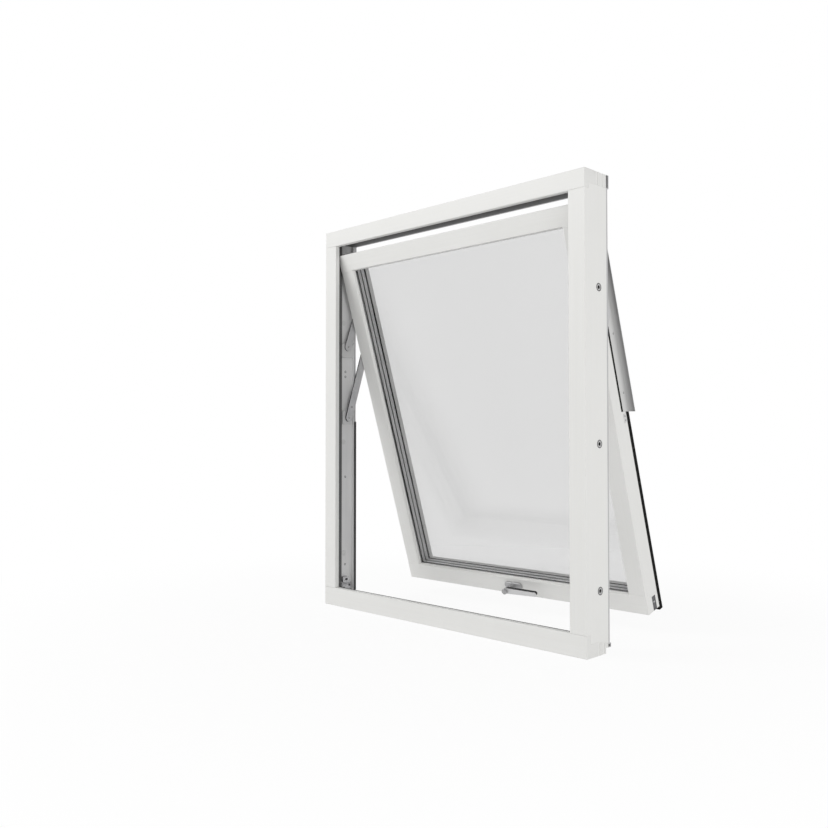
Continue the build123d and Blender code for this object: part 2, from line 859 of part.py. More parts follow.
def lock():
    right = rack_bolt()
    turned = Pos(0, lock_y, lock_z) * Rot(0, 180, 0) * Pos(0, -lock_y, -lock_z)
    left = turned * right
    height = rack_back + tooth_addendum
    rack_z = pinion_radius - tooth_addendum
    half_depth = groove_width / 2 - case_clearance / 2
    case_low = lock_z - rack_z - height - case_clearance - case_wall
    case_high = lock_z + rack_z + height + case_clearance + case_wall
    case = block(-case_half_length, case_half_length, lock_y - half_depth, lock_y + half_depth,
                 case_low, case_high)
    slot_y = bolt_width / 2 + case_clearance
    for side in (-1, 1):
        low, high = sorted((lock_z + side * (rack_z - case_clearance),
                            lock_z + side * (rack_z + height + case_clearance)))
        case -= block(-case_half_length - overrun, case_half_length + overrun, lock_y - slot_y,
                      lock_y + slot_y, low, high)
    well = Pos(0, lock_y, lock_z) * Rot(90, 0, 0) * Cylinder(
        pinion_radius + tooth_addendum + case_clearance, 2 * slot_y)
    bore = Pos(0, lock_y, lock_z) * Rot(90, 0, 0) * Cylinder(
        spindle, groove_width + overrun)
    case = case - well - bore
    strip = block(-sash_half + bolt_set_back, sash_half - bolt_set_back,
                  lock_y - groove_width / 2 + faceplate_clearance,
                  lock_y + groove_width / 2 - faceplate_clearance, sash_bottom, sash_bottom + faceplate)
    return {
        "right_bolt": right,
        "left_bolt": left,
        "lock_case": case,
        "lock_faceplate": strip,
        "lock_pinion": pinion(),
    }


# Lever handle on the room face of the bottom rail

def handle():
    face = Plane.XZ.offset(-sash_room_face) * Pos(0, lock_z)
    rose = extrude(face * SlotOverall(rose_width, rose_height), rose_depth)
    rose = chamfer(rose.faces().sort_by(Axis.Y)[0].edges(), rose_arris)
    rose -= extrude(face * Circle(neck_radius + running_fit), rose_depth + overrun)
    hub = Circle(lever_hub_radius).edges()
    tip = (Pos(lever_length - lever_tip_radius, 0) * Circle(lever_tip_radius)).edges()
    back = Plane.XZ.offset(lever_gap - sash_room_face) * Pos(0, lock_z)
    lever = extrude(back * make_hull(hub + tip), lever_depth)
    ends = lever.faces().sort_by(Axis.Y)
    lever = chamfer(ends[0].edges() + ends[-1].edges(), lever_arris)
    lever += extrude(face * Circle(neck_radius), lever_gap)
    half = spindle / 2
    socket = block(-half, half, sash_room_face - neck_bore_depth, sash_room_face + overrun,
                   lock_z - half, lock_z + half)
    lever -= socket
    bar = block(-half, half, sash_room_face - neck_bore_depth, lock_y + groove_width / 2,
                lock_z - half, lock_z + half)
    return {"handle_rose": rose, "handle_lever": lever, "handle_spindle": bar}


fixed_parts = {
    **frame_timbers(),
    **fixing_sleeves(),
    **frame_seal(),
    **guide_channels(),
    **pivot_blocks(),
    **keepers(),
    **frame_cladding(),
    **linkage(),
}
sash_parts = {
    **sash_timbers(),
    **glazing(),
    **sash_cladding(),
    **covers(),
    **sash_plates(),
    **lock(),
    **handle(),
}
for name, shape in sash_parts.items():
    fixed_parts[name] = with_sash(shape)

# The origin is the middle of the sill's flat underside
to_origin = Pos(0, -sill_seat_depth / 2, 0)
os.makedirs("parts", exist_ok=True)
for name, shape in fixed_parts.items():
    export_step(to_origin * shape, f"parts/{name}.step")
print(len(fixed_parts), "nodes")
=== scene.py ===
import json
from math import cos, pi, radians, sin

import bpy
from mathutils import Matrix, Vector


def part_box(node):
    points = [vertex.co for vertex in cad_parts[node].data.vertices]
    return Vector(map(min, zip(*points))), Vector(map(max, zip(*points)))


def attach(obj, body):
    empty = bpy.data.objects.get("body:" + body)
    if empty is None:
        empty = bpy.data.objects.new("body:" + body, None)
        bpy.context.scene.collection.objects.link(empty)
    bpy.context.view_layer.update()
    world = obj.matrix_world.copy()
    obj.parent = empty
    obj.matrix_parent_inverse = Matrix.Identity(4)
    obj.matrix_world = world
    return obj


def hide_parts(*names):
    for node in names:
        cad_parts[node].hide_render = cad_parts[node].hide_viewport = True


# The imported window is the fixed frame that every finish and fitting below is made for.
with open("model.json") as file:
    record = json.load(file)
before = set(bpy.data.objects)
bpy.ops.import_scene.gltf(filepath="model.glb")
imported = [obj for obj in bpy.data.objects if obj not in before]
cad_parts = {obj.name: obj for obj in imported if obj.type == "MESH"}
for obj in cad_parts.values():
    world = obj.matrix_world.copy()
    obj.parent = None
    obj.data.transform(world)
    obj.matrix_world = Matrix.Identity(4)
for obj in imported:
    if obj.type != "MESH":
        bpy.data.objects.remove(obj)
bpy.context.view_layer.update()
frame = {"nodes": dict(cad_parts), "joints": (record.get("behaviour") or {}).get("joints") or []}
nodes = frame["nodes"]
joints = {joint["name"]: joint for joint in frame["joints"]}


# Frame timbers: head, sill and two jambs of laminated softwood, tenoned together at the corners and
# sprayed white. The paint is opaque, so only a faint grain along each length shows through. The end
# faces of head and sill get a painted shade, a little darker, by how squarely they face sideways.
paint_white = (0.80, 0.80, 0.785, 1)
paint_hollow = (0.77, 0.77, 0.752, 1)
painted_shade_on_ends = (0.755, 0.755, 0.74, 1)
end_shade_reach = (0.6, 0.9)
grain_length = 0.32
grain_width = 0.0045
along_x = (grain_length, grain_width, grain_width)
along_z = (grain_width, grain_width, grain_length)
frame_arris = 0.0010
timber_arris_steps = 2
merge_distance = 0.00001


def new_node(tree, kind, inputs=None, **settings):
    """Adds a shader node, makes its settings and then fills its inputs."""
    node = tree.nodes.new("ShaderNode" + kind)
    for name, value in settings.items():
        setattr(node, name, value)
    for name, value in (inputs or {}).items():
        node.inputs[name].default_value = value
    return node


def painted_shade_by_facing(tree, plain, facing_shade_colour, reach):
    """Paints shade by facing: brings in a colour by how squarely a face looks to the left or right."""
    side = new_node(tree, "NewGeometry")
    parts = new_node(tree, "SeparateXYZ")
    size = new_node(tree, "Math", operation="ABSOLUTE")
    share = new_node(tree, "MapRange", {"From Min": reach[0], "From Max": reach[1]})
    cut = new_node(tree, "Mix", {"B": facing_shade_colour}, data_type="RGBA")
    link = tree.links.new
    link(side.outputs["True Normal"], parts.inputs["Vector"])
    link(parts.outputs["X"], size.inputs[0])
    link(size.outputs["Value"], share.inputs["Value"])
    link(share.outputs["Result"], cut.inputs["Factor"])
    link(plain, cut.inputs["A"])
    return cut.outputs["Result"]


def painted_shade_outwards(tree, plain, outward_shade_colour, depths, turn):
    """Paints shade outwards: brings in a colour between two depths, counted square to the sash."""
    where = new_node(tree, "TexCoord")
    level = new_node(tree, "Mapping", {"Rotation": (turn, 0, 0)}, vector_type="TEXTURE")
    parts = new_node(tree, "SeparateXYZ")
    share = new_node(tree, "MapRange", {"From Min": depths[0], "From Max": depths[1]},
                     interpolation_type="SMOOTHSTEP")
    edge = new_node(tree, "Mix", {"B": outward_shade_colour}, data_type="RGBA")
    link = tree.links.new
    link(where.outputs["Object"], level.inputs["Vector"])
    link(level.outputs["Vector"], parts.inputs["Vector"])
    link(parts.outputs["Y"], share.inputs["Value"])
    link(share.outputs["Result"], edge.inputs["Factor"])
    link(plain, edge.inputs["A"])
    return edge.outputs["Result"]


def grained(name, high, low, lay, turn=0.0, gloss=(0.32, 0.5), metal=0.0, lift=0.08, depth=0.0004,
            patch=0.12, shine=0.5, facing_shade=None, outer=None):
    """A finish with fine lines that follow one direction, broad uneven patches and a low relief.

    Painted shade by facing, if given, is a colour and the reach of X in the normal over which it comes in.
    Outer, if given, is a painted shade: a colour and the two depths, square to the sash, between which it
    comes in."""
    patch_share = 0.55
    material = bpy.data.materials.new(name)
    material.use_nodes = True
    tree = material.node_tree
    shader = tree.nodes["Principled BSDF"]
    shader.inputs["Metallic"].default_value = metal
    shader.inputs["Specular IOR Level"].default_value = shine
    where = new_node(tree, "TexCoord")
    laid = new_node(tree, "Mapping", {"Rotation": (turn, 0, 0), "Scale": lay}, vector_type="TEXTURE")
    lines = new_node(tree, "TexNoise", {"Scale": 1.0, "Detail": 4.0, "Roughness": 0.6})
    patches = new_node(tree, "TexNoise", {"Scale": 1.0 / patch, "Detail": 2.0})
    both = new_node(tree, "Math", {1: patch_share}, operation="MULTIPLY_ADD")
    shade = new_node(tree, "MapRange", {"From Min": 0.3, "From Max": 0.95})
    colour = new_node(tree, "Mix", {"A": low, "B": high}, data_type="RGBA")
    dull = new_node(tree, "MapRange", {"From Min": 0.3, "From Max": 0.7, "To Min": gloss[0],
                                       "To Max": gloss[1]})
    relief = new_node(tree, "Bump", {"Strength": lift, "Distance": depth})
    link = tree.links.new
    link(where.outputs["Object"], laid.inputs["Vector"])
    link(where.outputs["Object"], patches.inputs["Vector"])
    link(laid.outputs["Vector"], lines.inputs["Vector"])
    link(patches.outputs["Fac"], both.inputs[0])
    link(lines.outputs["Fac"], both.inputs[2])
    link(both.outputs["Value"], shade.inputs["Value"])
    link(shade.outputs["Result"], colour.inputs["Factor"])
    tint = colour.outputs["Result"]
    if facing_shade:
        tint = painted_shade_by_facing(tree, tint, *facing_shade)
    if outer:
        tint = painted_shade_outwards(tree, tint, *outer, turn)
    link(tint, shader.inputs["Base Color"])
    link(lines.outputs["Fac"], dull.inputs["Value"])
    link(dull.outputs["Result"], shader.inputs["Roughness"])
    link(lines.outputs["Fac"], relief.inputs["Height"])
    link(relief.outputs["Normal"], shader.inputs["Normal"])
    return material


def wear(material, *names):
    """Gives a finish to nodes of the window."""
    for name in names:
        nodes[name].data.materials.clear()
        nodes[name].data.materials.append(material)


def ease_edges(width, steps, *names):
    """Takes the sharpness off a node's edges, as sanding and paint do."""
    for name in names:
        piece = nodes[name]
        joined = piece.modifiers.new("joined", "WELD")
        joined.merge_threshold = merge_distance
        flat = piece.modifiers.new("flat", "DECIMATE")
        flat.decimate_type = "DISSOLVE"
        flat.angle_limit = radians(1)
        eased = piece.modifiers.new("eased", "BEVEL")
        eased.limit_method = "ANGLE"
        eased.angle_limit = radians(40)
        eased.width = width
        eased.segments = steps


# head and sill: a painted shade on their end faces, by how squarely they face sideways
wear(grained("white_paint_across", paint_white, paint_hollow, along_x, facing_shade=(painted_shade_on_ends, end_shade_reach)),
     "head", "sill")
wear(grained("white_paint_upright", paint_white, paint_hollow, along_z), "left_jamb", "right_jamb")
ease_edges(frame_arris, timber_arris_steps, "head", "sill", "left_jamb", "right_jamb")


# Fixing sleeves: dark moulded tubes pressed into holes through each jamb, three a side. A thin collar
# on the outer face stops each one, a pale steel bush inside it guides the frame screw, and a grey cap
# closes it in the channel.
sleeve_grey = (0.085, 0.085, 0.088, 1)
sleeve_deep = (0.055, 0.055, 0.058, 1)
# the tube is coloured darker than its collar: a painted shade for the bore
tube_shade_grey = (0.030, 0.030, 0.031, 1)
tube_shade_deep = (0.018, 0.018, 0.019, 1)
bush_pale = (0.60, 0.60, 0.60, 1)
bush_dull = (0.48, 0.48, 0.485, 1)
cap_pale = (0.67, 0.67, 0.67, 1)
cap_dull = (0.60, 0.60, 0.605, 1)
collar_radius = 0.0102
collar_bore = 0.0082
collar_height = 0.0008
collar_round = 0.0004
bush_bore = 0.0052
bush_height = 0.0022
bush_proud = 0.0003
bush_round = 0.0003
cap_radius = 0.0084
cap_height = 0.0017
cap_round = 0.0004
cap_dish = 0.0003
fixing_height_shares = (0.132, 0.434, 0.759)
channel_floor = 0.471
squarely = 0.9
sides = (("left", -1), ("right", 1))


def all_ways(size):
    """The lay of a skin whose grain has no direction."""
    return (size, size, size)


def plain_start():
    """Leaves edit mode with nothing selected."""
    if bpy.context.object and bpy.context.object.mode == "EDIT":
        bpy.ops.object.mode_set(mode="OBJECT")
    bpy.ops.object.select_all(action="DESELECT")


def pick_faces(test):
    """Selects the faces of the piece in hand whose middle and normal pass a test."""
    piece = bpy.context.object
    bpy.ops.mesh.select_mode(type="FACE")
    bpy.ops.mesh.select_all(action="DESELECT")
    bpy.ops.object.mode_set(mode="OBJECT")
    for face in piece.data.polygons:
        face.select = bool(test(face.center, face.normal))
    bpy.ops.object.mode_set(mode="EDIT")


def pick_edges(test):
    """Selects the edges of the piece in hand whose two ends pass a test."""
    piece = bpy.context.object
    bpy.ops.mesh.select_mode(type="EDGE")
    bpy.ops.mesh.select_all(action="DESELECT")
    bpy.ops.object.mode_set(mode="OBJECT")
    points = piece.data.vertices
    for edge in piece.data.edges:
        edge.select = bool(test(points[edge.vertices[0]].co, points[edge.vertices[1]].co))
    bpy.ops.object.mode_set(mode="EDIT")


def all_outwards():
    """Turns every face of the piece in hand outwards and leaves edit mode."""
    bpy.ops.mesh.select_all(action="SELECT")
    bpy.ops.mesh.normals_make_consistent(inside=False)
    bpy.ops.object.mode_set(mode="OBJECT")


def modelled(name, material, body):
    """Closes a piece in hand: its place goes into its mesh, and it gets finish and body."""
    piece = bpy.context.object
    if piece.mode == "EDIT":
        bpy.ops.object.mode_set(mode="OBJECT")
    piece.name = name
    piece.data.name = name
    bpy.ops.object.transform_apply(location=True, rotation=True, scale=True)
    bpy.ops.object.shade_smooth_by_angle(angle=radians(35))
    piece.data.materials.clear()
    piece.data.materials.append(material)
    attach(piece, body)
    return piece


def set_in_places(name, pattern, places, material, body):
    """Copies a small pattern piece to several places and joins the copies to one piece."""
    copies = []
    for place in places:
        twin = bpy.data.objects.new(name, pattern.data.copy())
        bpy.context.scene.collection.objects.link(twin)
        twin.data.transform(place)
        copies.append(twin)
    plain_start()
    for twin in copies:
        twin.select_set(True)
    bpy.context.view_layer.objects.active = copies[0]
    if len(copies) > 1:
        bpy.ops.object.join()
    return modelled(name, material, body)


def put_away(pattern):
    """Takes a pattern piece out once its copies are set."""
    bpy.data.objects.remove(pattern, do_unlink=True)


def facing(x, y, z, to_right):
    """A place on a face that looks to the right or the left."""
    return Matrix.Translation((x, y, z)) @ Matrix.Rotation(radians(90 if to_right else -90), 4, "Y")


def turned_ring(outer, inner, height, round_over):
    """A flat ring round Z with its upper rim rounded, as a pattern to copy."""
    rim = outer * 0.95
    plain_start()
    bpy.ops.mesh.primitive_cylinder_add(vertices=32, radius=outer, depth=height)
    bpy.ops.object.mode_set(mode="EDIT")
    pick_faces(lambda middle, normal: abs(normal.z) > squarely)
    bpy.ops.mesh.inset(thickness=outer - inner)
    bpy.ops.mesh.bridge_edge_loops()
    bpy.ops.mesh.select_all(action="SELECT")
    bpy.ops.mesh.remove_doubles(threshold=merge_distance)
    pick_edges(lambda a, b: min(a.z, b.z) > 0 and min(a.xy.length, b.xy.length) > rim)
    bpy.ops.mesh.bevel(offset=round_over, segments=3)
    all_outwards()
    return bpy.context.object


def turned_button(radius, height, round_over, dish):
    """A low round head on Z = 0 with a rounded rim and a shallow dish, as a pattern to copy."""
    dish_border = radius * 0.35
    dish_slope = radius * 0.1
    near_top = height * 0.9
    top = height * 0.99
    flat_up = 0.9999
    plain_start()
    bpy.ops.mesh.primitive_cylinder_add(vertices=24, radius=radius, depth=height, location=(0, 0, height / 2))
    bpy.ops.object.transform_apply(location=True, rotation=False, scale=False)
    bpy.ops.object.mode_set(mode="EDIT")
    pick_edges(lambda a, b: min(a.z, b.z) > near_top)
    bpy.ops.mesh.bevel(offset=round_over, segments=3)
    pick_faces(lambda middle, normal: normal.z > flat_up and middle.z > top)
    bpy.ops.mesh.inset(thickness=dish_border)
    bpy.ops.mesh.inset(thickness=dish_slope, depth=-dish)
    all_outwards()
    return bpy.context.object


sleeve_skin = all_ways(0.01)
fine_skin = all_ways(0.004)
sleeve_finish = grained("dark_sleeve", sleeve_grey, sleeve_deep, sleeve_skin, lift=0.1)
# the tube's darker colour is a painted shade for the bore
wear(grained("sleeve_bore_shade", tube_shade_grey, tube_shade_deep, sleeve_skin, lift=0.1), "fixing_sleeves")
bush_finish = grained("pale_bush", bush_pale, bush_dull, fine_skin, metal=0.2)
cap_finish = grained("grey_cap", cap_pale, cap_dull, fine_skin, lift=0.1)
half_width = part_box("head")[1].x
frame_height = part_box("head")[1].z
sleeve_low, sleeve_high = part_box("fixing_sleeves")
fixing_y = (sleeve_low.y + sleeve_high.y) / 2
fixing_heights = [share * frame_height for share in fixing_height_shares]
collar = turned_ring(collar_radius, collar_bore, collar_height, collar_round)
bush = turned_ring(collar_bore, bush_bore, bush_height, bush_round)
cap = turned_button(cap_radius, cap_height, cap_round, cap_dish)
fittings = (
    ("_sleeve_collars", collar, sleeve_finish, half_width + collar_height / 2, 1),
    ("_sleeve_bushes", bush, bush_finish, half_width + bush_proud - bush_height / 2, 1),
    ("_sleeve_caps", cap, cap_finish, channel_floor + cap_height, -1),
)
for side, sign in sides:
    for name, pattern, finish, out, way in fittings:
        spots = [facing(sign * out, fixing_y, z, sign * way > 0) for z in fixing_heights]
        set_in_places(side + name, pattern, spots, finish, "frame")
for pattern in (collar, bush, cap):
    put_away(pattern)


# Frame seal: one dark extruded rubber behind the lips of head, sill and jambs, pushed into a groove.
# Its skin is matt, with the fine lines that the die leaves along its length. A low bead of the same
# rubber stands along the sill's lip.
seal_grey = (0.115, 0.115, 0.115, 1)
seal_deep = (0.085, 0.085, 0.085, 1)
die_lines = (0.003, 0.003, 0.2)
lip_back = -0.026
lip_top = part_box("sill")[1].z
bead_half = 0.4405
bead_rise = 0.0009
bead_reach = 0.0022
bead_sunk = 0.0002
bead_round = 0.0006


def sawn_block(x, y, z):
    """Starts a block of a size round the origin, in edit mode, to be shaped."""
    plain_start()
    bpy.ops.mesh.primitive_cube_add(size=1.0)
    bpy.ops.object.mode_set(mode="EDIT")
    bpy.ops.transform.resize(value=(x, y, z))


def set_down(place):
    """Leaves edit mode and moves the mesh of the piece in hand to its place."""
    bpy.ops.object.mode_set(mode="OBJECT")
    bpy.context.object.data.transform(place)


seal_rubber = grained("seal_rubber", seal_grey, seal_deep, die_lines, gloss=(0.55, 0.7), lift=0.15)
wear(seal_rubber, "frame_seal")
sawn_block(2 * bead_half, bead_reach, 2 * bead_rise)
pick_edges(lambda a, b: a.z > 0 and b.z > 0 and abs(a.x - b.x) > bead_half)
bpy.ops.mesh.bevel(offset=bead_round, segments=3)
set_down(Matrix.Translation((0, lip_back - bead_sunk + bead_reach / 2, lip_top)))
modelled("sill_bead", seal_rubber, "frame")


# Guide channels: a plain anodised aluminium channel screwed to each jamb from head to sill. Its floor
# shows the drawing lines of the extrusion. The dark screws are almost flush, since shoes slide by.
channel_pale = (0.76, 0.76, 0.76, 1)
channel_dull = (0.67, 0.67, 0.675, 1)
drawing_lines = (0.0012, 0.0012, 0.5)
pin_grey = (0.07, 0.07, 0.073, 1)
pin_deep = (0.04, 0.04, 0.042, 1)
screw_skin = all_ways(0.002)
screw_radius = 0.0036
screw_height = 0.0002
screw_round = 0.00008
screw_dish = 0.00012
screw_sunk = 0.00015
screw_depth = 0.024
screw_heights = (0.12, 0.40, 0.722, 0.738, 1.09)

wear(grained("drawn_channel", channel_pale, channel_dull, drawing_lines, gloss=(0.4, 0.55), metal=0.15,
             lift=0.1, depth=0.0002), "left_guide_channel", "right_guide_channel")
pin_dark = grained("pin_dark", pin_grey, pin_deep, screw_skin, metal=0.4)
screw = turned_button(screw_radius, screw_height, screw_round, screw_dish)
for side, sign in sides:
    seat_x = sign * (channel_floor + screw_sunk)
    spots = [facing(seat_x, screw_depth, z, sign < 0) for z in screw_heights]
    set_in_places(side + "_channel_screws", screw, spots, pin_dark, "frame")
put_away(screw)


# Pivot blocks and keepers: zinc plated castings in the channels. The blocks, in a pale grey coat, hold the
# foot of each arm, and the keepers at the bottom take the lock's bolts. A plate with a raised middle and
# two screws sits at each keeper.
zinc_pale = (0.50, 0.50, 0.51, 1)
zinc_dull = (0.38, 0.38, 0.39, 1)
plating = (0.006, 0.006, 0.02)
foot_low, foot_high = 0.0365, 0.0620
foot_near, foot_far = 0.0045, 0.0475
foot_thickness = 0.0022
foot_border = 0.0040
foot_boss = 0.0030
foot_round = 0.0005
just_inside = 0.0001
foot_back = foot_thickness / 2 - just_inside
foot_screw_radius = 0.0038
foot_screw_height = 0.0010
foot_screw_round = 0.0004
foot_screw_dish = 0.0007
foot_screw_spots = ((0.0155, 0.0450), (0.0380, 0.0530))


def panel_side(towards, border, step):
    """Insets the face of the piece in hand that looks one way along X, and moves it along X."""
    pick_faces(lambda middle, normal: normal.x * towards > squarely)
    bpy.ops.mesh.inset(thickness=border)
    bpy.ops.mesh.extrude_region_move(TRANSFORM_OT_translate={"value": (step, 0, 0)})


zinc = grained("zinc_plate", zinc_pale, zinc_dull, plating, gloss=(0.3, 0.5), metal=0.75, lift=0.08,
               depth=0.0002, patch=0.03)
wear(cap_finish, "left_pivot_block", "right_pivot_block")
wear(zinc, "left_keeper", "right_keeper")
foot_y = (foot_near + foot_far) / 2
foot_z = (foot_low + foot_high) / 2
foot_screw = turned_button(foot_screw_radius, foot_screw_height, foot_screw_round, foot_screw_dish)
for side, sign in sides:
    sawn_block(foot_thickness, foot_far - foot_near, foot_high - foot_low)
    panel_side(-sign, foot_border, -sign * foot_boss)
    pick_edges(lambda a, b: max(a.x * sign, b.x * sign) < foot_back)
    bpy.ops.mesh.bevel(offset=foot_round, segments=2)
    set_down(Matrix.Translation((sign * (channel_floor - foot_thickness / 2), foot_y, foot_z)))
    modelled(side + "_keeper_foot", zinc, "frame")
    face_x = sign * (channel_floor - foot_thickness - foot_boss)
    spots = [facing(face_x, y, z, sign < 0) for y, z in foot_screw_spots]
    set_in_places(side + "_foot_screws", foot_screw, spots, sleeve_finish, "frame")
put_away(foot_screw)


# Frame cladding: roll-formed aluminium on the weather side of head, sill and jambs, powder coated
# light grey and clipped to the timber. The coat has a fine orange-peel skin. A thin near-black strip
# lines the inner edge beside the sash, a painted shade for that edge.
powder_pale = (0.50, 0.50, 0.505, 1)
powder_dull = (0.44, 0.44, 0.45, 1)
orange_peel = all_ways(0.0016)
cladding_shade_grey = (0.085, 0.085, 0.086, 1)
cladding_shade_deep = (0.06, 0.06, 0.061, 1)
strip_low, strip_high = 0.0345, 0.5775
strip_near, strip_far = 0.0530, 0.0622
strip_thickness = 0.0007
strip_border = 0.0025
strip_groove = 0.0003
cladding_edge = 0.462

wear(grained("powder_coat", powder_pale, powder_dull, orange_peel, gloss=(0.38, 0.5), metal=0.2, lift=0.12,
             depth=0.0002),
     "head_cladding", "sill_cladding", "left_lower_cladding", "right_lower_cladding",
     "left_corner_cladding", "right_corner_cladding")
# a near-black strip beside the sash: a painted shade for the cladding's inner edge
cladding_shade_strip = grained("cladding_shade_strip", cladding_shade_grey, cladding_shade_deep, die_lines, gloss=(0.6, 0.8), lift=0.12,
                       shine=0.15)
strip_y = (strip_near + strip_far) / 2
strip_z = (strip_low + strip_high) / 2
for side, sign in sides:
    sawn_block(strip_thickness, strip_far - strip_near, strip_high - strip_low)
    panel_side(-sign, strip_border, sign * strip_groove)
    set_down(Matrix.Translation((sign * (cladding_edge - strip_thickness / 2), strip_y, strip_z)))
    modelled(side + "_cladding_strip", cladding_shade_strip, "frame")


# Arms, links and shoes: pressed and zinc plated steel arms on riveted pins, with pale moulded shoes that
# slide in the channels. The rivets are set almost flush, since the arms pass the sash closely, and the
# edge faces of the steel get a near-black painted shade for the gaps beside them.
arm_pale = (0.56, 0.56, 0.57, 1)
arm_dull = (0.45, 0.45, 0.46, 1)
painted_edge_shade = (0.035, 0.035, 0.037, 1)
edge_shade_reach = (0.8, 0.4)
shoe_pale = (0.60, 0.60, 0.60, 1)
shoe_dull = (0.52, 0.52, 0.52, 1)
arm_face = 0.4536
link_face = 0.4582
pin_radius = 0.0032
rivet_height = 0.00035
rivet_sunk = 0.00030
rivet_round = 0.00015
rivet_dish = 0.0001
rivet_up_arm = 0.036

# the edge faces of the steel get a near-black painted shade
arm_zinc = grained("arm_plate", arm_pale, arm_dull, plating, gloss=(0.3, 0.5), metal=0.5, lift=0.08,
                   depth=0.0002, patch=0.03, facing_shade=(painted_edge_shade, edge_shade_reach))
wear(arm_zinc, "left_main_arm", "right_main_arm", "left_brake_link", "right_brake_link",
     "left_sash_plate", "right_sash_plate")
wear(grained("moulded_shoe", shoe_pale, shoe_dull, fine_skin, gloss=(0.45, 0.6), lift=0.1),
     "left_top_shoe", "right_top_shoe", "left_brake_shoe", "right_brake_shoe", "setting_blocks")
foot = Vector(joints["window_swing"]["pos_m"])
elbow = Vector(joints["sash_tilt"]["pos_m"])
brake_pin = Vector(joints["left_brake_turn"]["pos_m"])
second = foot + (elbow - foot).normalized() * rivet_up_arm
pins = (
    ("_arm_pin", "_arm", arm_face, foot),
    ("_arm_rivet", "_arm", arm_face, second),
    ("_link_pin", "_link", link_face, brake_pin),
)
small_pin = turned_button(pin_radius, rivet_height, rivet_round, rivet_dish)
for side, sign in sides:
    for name, body, face_x, at in pins:
        spot = facing(sign * (face_x + rivet_sunk), at.y, at.z, sign < 0)
        set_in_places(side + name, small_pin, [spot], pin_dark, side + body)
put_away(small_pin)


# Sash timbers: two rails and two stiles of the same painted softwood, joined at the corners and tilted
# with the sash, so their grain runs with the tilt.
sash_arris = 0.0009
tilt = radians(-joints["window_swing"]["range_deg"][0])

wear(grained("sash_paint_across", paint_white, paint_hollow, along_x, turn=tilt),
     "sash_top_rail", "sash_bottom_rail")
wear(grained("sash_paint_upright", paint_white, paint_hollow, along_z, turn=tilt),
     "left_stile", "right_stile")
ease_edges(sash_arris, timber_arris_steps, "sash_top_rail", "sash_bottom_rail", "left_stile", "right_stile")


# Glazing: three panes of clear float glass with two satin spacer bars between them, bedded on black
# seals. The panes take a little light away and mirror the room, and a black bead of sealant shows round
# the sight opening at each pane.
glass_pale = (0.90, 0.90, 0.90, 1)
glass_dull = (0.8865, 0.8865, 0.8865, 1)
glass_smear = 0.02
glass_bend = 1.24
haze_scale = 2.5
spacer_pale = (0.80, 0.80, 0.805, 1)
spacer_dull = (0.70, 0.70, 0.705, 1)
spacer_lines = (0.003, 0.0015, 0.003)
rubber_black = (0.008, 0.008, 0.008, 1)
rubber_deep = (0.004, 0.004, 0.004, 1)
rubber_lines = (0.05, 0.003, 0.05)
axis_height = 0.068
sight_half = 0.398
sight_low = 0.093 - axis_height
sight_high = 1.088 - axis_height
bead_stand = 0.0004
beads = {"room_bead": (0.0166, 0.0030), "middle_bead": (0.0312, 0.0010), "weather_bead": (0.0486, 0.0038)}


def clear_glass(name):
    """A see-through finish with a faint uneven tint and smear."""
    material = bpy.data.materials.new(name)
    material.use_nodes = True
    tree = material.node_tree
    shader = tree.nodes["Principled BSDF"]
    shader.inputs["Transmission Weight"].default_value = 1.0
    shader.inputs["IOR"].default_value = glass_bend
    where = new_node(tree, "TexCoord")
    haze = new_node(tree, "TexNoise", {"Scale": haze_scale})
    shade = new_node(tree, "Mix", {"A": glass_dull, "B": glass_pale}, data_type="RGBA")
    smear = new_node(tree, "MapRange", {"To Min": 0.0, "To Max": glass_smear})
    link = tree.links.new
    link(where.outputs["Object"], haze.inputs["Vector"])
    link(haze.outputs["Fac"], shade.inputs["Factor"])
    link(haze.outputs["Fac"], smear.inputs["Value"])
    link(shade.outputs["Result"], shader.inputs["Base Color"])
    link(smear.outputs["Result"], shader.inputs["Roughness"])
    return material


def edge_bead(width):
    """A black line of sealant round the sight opening, as a pattern to set at a depth."""
    plain_start()
    bpy.ops.mesh.primitive_plane_add(size=1.0)
    bpy.ops.object.mode_set(mode="EDIT")
    full_width = 2 * (sight_half + bead_stand)
    full_height = sight_high - sight_low + 2 * bead_stand
    bpy.ops.transform.resize(value=(full_width, full_height, 1))
    bpy.ops.mesh.inset(thickness=2 * bead_stand)
    bpy.ops.mesh.delete(type="FACE")
    bpy.ops.mesh.select_all(action="SELECT")
    bpy.ops.mesh.extrude_region_move(TRANSFORM_OT_translate={"value": (0, 0, -width)})
    all_outwards()
    return bpy.context.object


wear(clear_glass("float_glass"), "inner_pane", "middle_pane", "outer_pane")
wear(grained("satin_spacer", spacer_pale, spacer_dull, spacer_lines, turn=tilt, gloss=(0.35, 0.5), metal=0.2),
     "inner_spacer", "outer_spacer")
black_rubber = grained("black_rubber", rubber_black, rubber_deep, rubber_lines, turn=tilt, gloss=(0.6, 0.8),
                       lift=0.12, shine=0.06)
wear(black_rubber, "inner_glazing_seal", "outer_glazing_seal", "edge_sealant")
sash_place = Matrix.Translation(joints["handle_turn"]["pos_m"]) @ Matrix.Rotation(tilt, 4, "X")
upright = Matrix.Rotation(radians(90), 4, "X")
sight_middle = (sight_low + sight_high) / 2
for name, (depth, width) in beads.items():
    bead = edge_bead(width)
    spot = sash_place @ Matrix.Translation((0, depth, sight_middle)) @ upright
    set_in_places(name, bead, [spot], black_rubber, "sash")
    put_away(bead)


